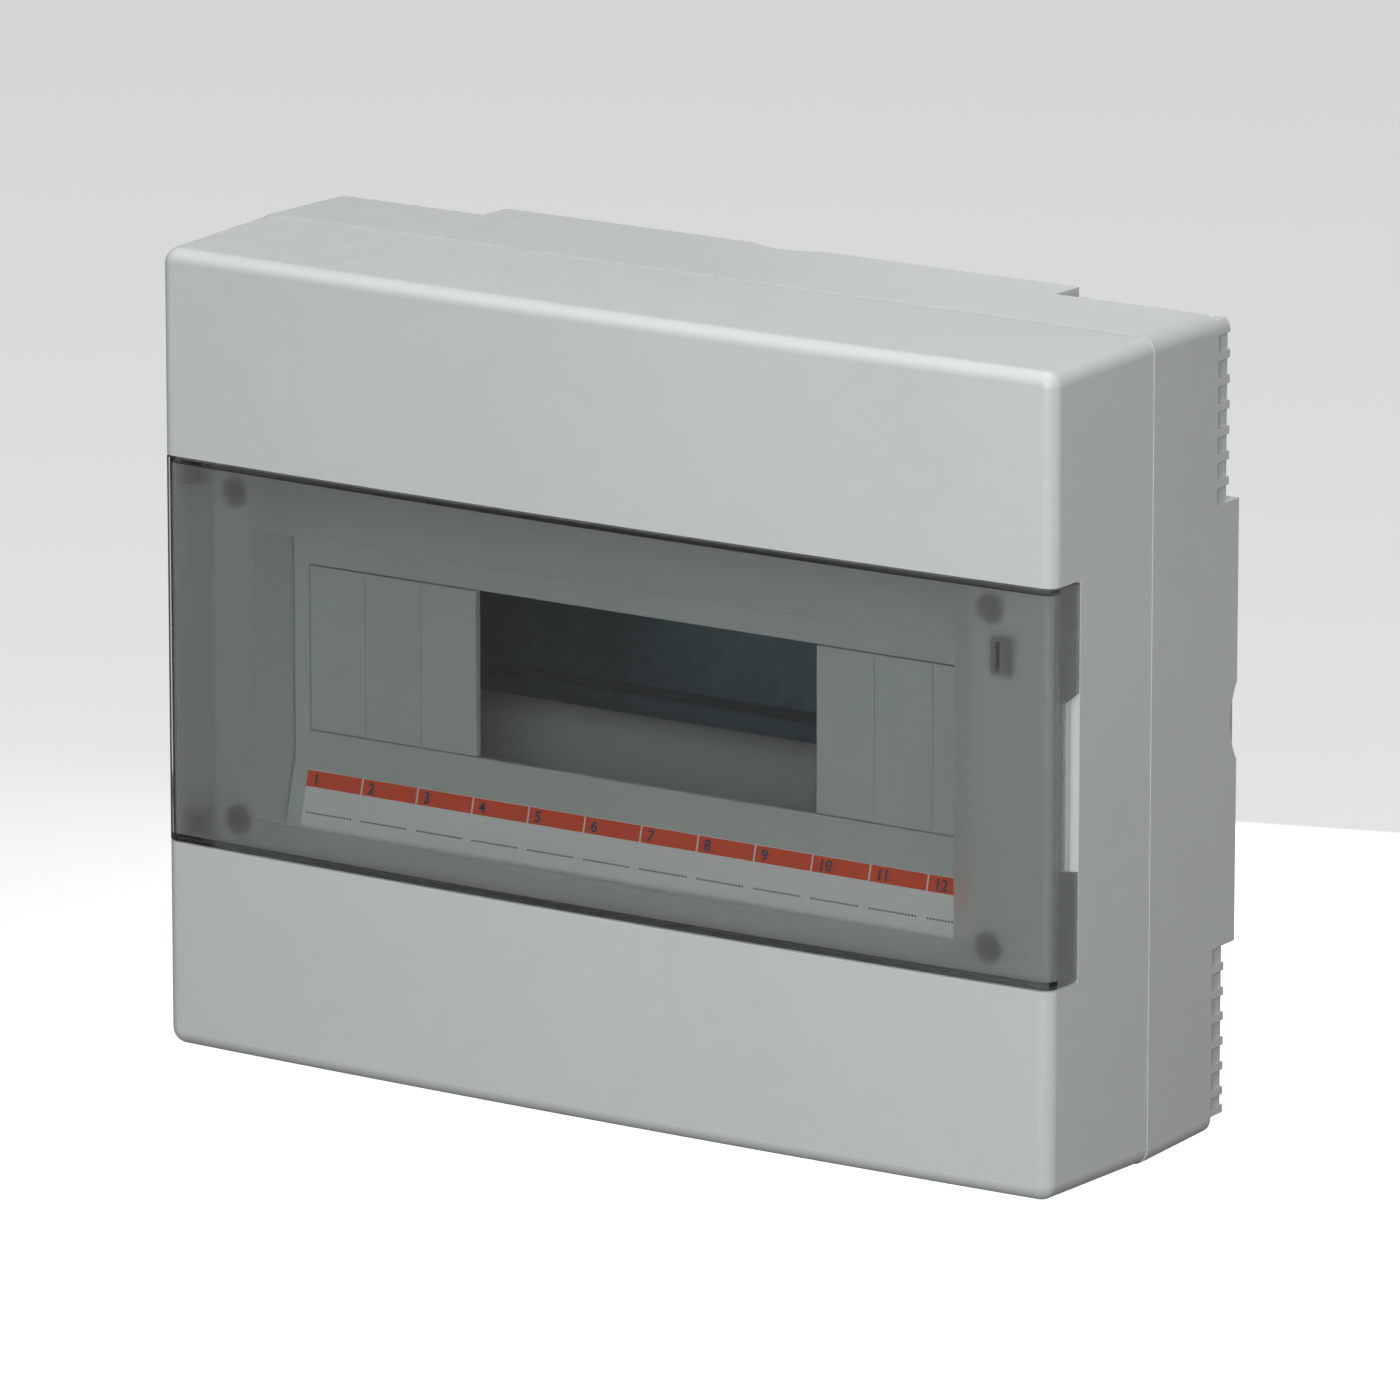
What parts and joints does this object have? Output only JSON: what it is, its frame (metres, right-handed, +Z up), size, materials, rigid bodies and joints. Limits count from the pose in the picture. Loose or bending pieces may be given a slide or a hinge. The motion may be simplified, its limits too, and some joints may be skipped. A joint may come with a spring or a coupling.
{
  "type": "breaker panel box",
  "caption": "Surface-mounted distribution box with a bowed front cover, a smoked wrap-round door, a DIN rail, filler blanks and a label strip.",
  "frame": {"origin": "centre of the wall plane behind the box, level with the middle of the DIN rail", "axes": "+X to the right seen from the front, -Y out of the wall towards the person, +Z up"},
  "size_m": [0.283, 0.0944, 0.2224],
  "materials": {
    "shell": "light warm-grey ABS with a fine satin texture",
    "shell_inner": "light grey ABS, smooth satin",
    "smoked_door": "smoked grey polycarbonate, clear in the middle and frosted at its margins",
    "label": "printed card with orange number cells",
    "bright_steel": "zinc-plated steel",
    "dark_steel": "blackened steel",
    "dark_plastic": "dark acetal",
    "galvanised_rail": "galvanised steel strip with a fine spangle",
    "terminal_brass": "drawn brass",
    "neutral_blue": "blue nylon",
    "earth_green": "green nylon"
  },
  "bodies": {
    "box": {"back_box": "shell", "breaker_panel": "shell_inner", "din_rail": "galvanised_rail", "door_catch": "dark_plastic", "earth_bar": "terminal_brass", "earth_holder": "earth_green", "earth_screw_1": "bright_steel", "earth_screw_2": "bright_steel", "earth_screw_3": "bright_steel", "earth_screw_4": "bright_steel", "earth_screw_5": "bright_steel", "earth_screw_6": "bright_steel", "fixing_cap_1": "shell_inner", "fixing_cap_2": "shell_inner", "fixing_cap_3": "shell_inner", "fixing_cap_4": "shell_inner", "front_cover": "shell", "hinge_pin_lower": "bright_steel", "hinge_pin_upper": "bright_steel", "label_strip": "label", "module_blank_1": "shell_inner", "module_blank_2": "shell_inner", "module_blank_3": "shell_inner", "module_blank_4": "shell_inner", "module_blank_5": "shell_inner", "module_blank_6": "shell_inner", "neutral_bar": "terminal_brass", "neutral_holder": "neutral_blue", "neutral_screw_1": "bright_steel", "neutral_screw_2": "bright_steel", "neutral_screw_3": "bright_steel", "neutral_screw_4": "bright_steel", "neutral_screw_5": "bright_steel", "neutral_screw_6": "bright_steel", "rail_bracket_left": "shell_inner", "rail_bracket_right": "shell_inner", "rail_screw_left": "bright_steel", "rail_screw_right": "bright_steel"},
    "door": {"door": "smoked_door"},
    "cover_screw_1": {"cover_screw_1": "dark_steel"},
    "cover_screw_2": {"cover_screw_2": "dark_steel"},
    "cover_screw_3": {"cover_screw_3": "dark_steel"},
    "cover_screw_4": {"cover_screw_4": "dark_steel"}
  },
  "joints": [
    {"name": "door_hinge", "type": "hinge", "parent": "box", "child": "door", "pos_m": [-0.1345, -0.0835, 0], "axis": [0, 0, -1], "range_deg": [0, 110]},
    {"name": "cover_screw_1_turn", "type": "hinge", "parent": "box", "child": "cover_screw_1", "pos_m": [-0.119, -0.0841, 0.0453], "axis": [0, -1, 0], "range_deg": [0, 90]},
    {"name": "cover_screw_2_turn", "type": "hinge", "parent": "box", "child": "cover_screw_2", "pos_m": [0.119, -0.0841, 0.0453], "axis": [0, -1, 0], "range_deg": [0, 90]},
    {"name": "cover_screw_3_turn", "type": "hinge", "parent": "box", "child": "cover_screw_3", "pos_m": [-0.119, -0.0841, -0.0453], "axis": [0, -1, 0], "range_deg": [0, 90]},
    {"name": "cover_screw_4_turn", "type": "hinge", "parent": "box", "child": "cover_screw_4", "pos_m": [0.119, -0.0841, -0.0453], "axis": [0, -1, 0], "range_deg": [0, 90]}
  ]
}
